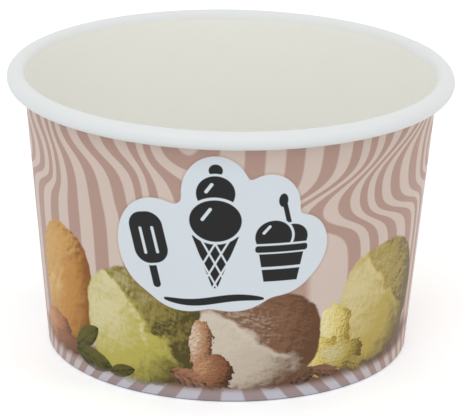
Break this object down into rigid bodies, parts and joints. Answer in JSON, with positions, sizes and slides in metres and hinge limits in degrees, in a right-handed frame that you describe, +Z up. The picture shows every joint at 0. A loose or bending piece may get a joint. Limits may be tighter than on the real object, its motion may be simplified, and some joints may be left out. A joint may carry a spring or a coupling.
{
  "type": "paper ice cream cup",
  "caption": "Round tapered tub of coated board for ice cream, with a rolled rim, a lapped side seam and a recessed base, printed with wavy stripes.",
  "frame": {"origin": "centre of the foot ring, on the surface that the tub stands on", "axes": "+Z up along the tub's axis, -Y towards the front of the print, +X to the right seen from the front"},
  "size_m": [0.096, 0.096, 0.0612],
  "materials": {
    "printed_board": "satin",
    "plain_board": "satin"
  },
  "bodies": {
    "root": {"side_wall": "printed_board", "base_disc": "plain_board"}
  },
  "joints": []
}
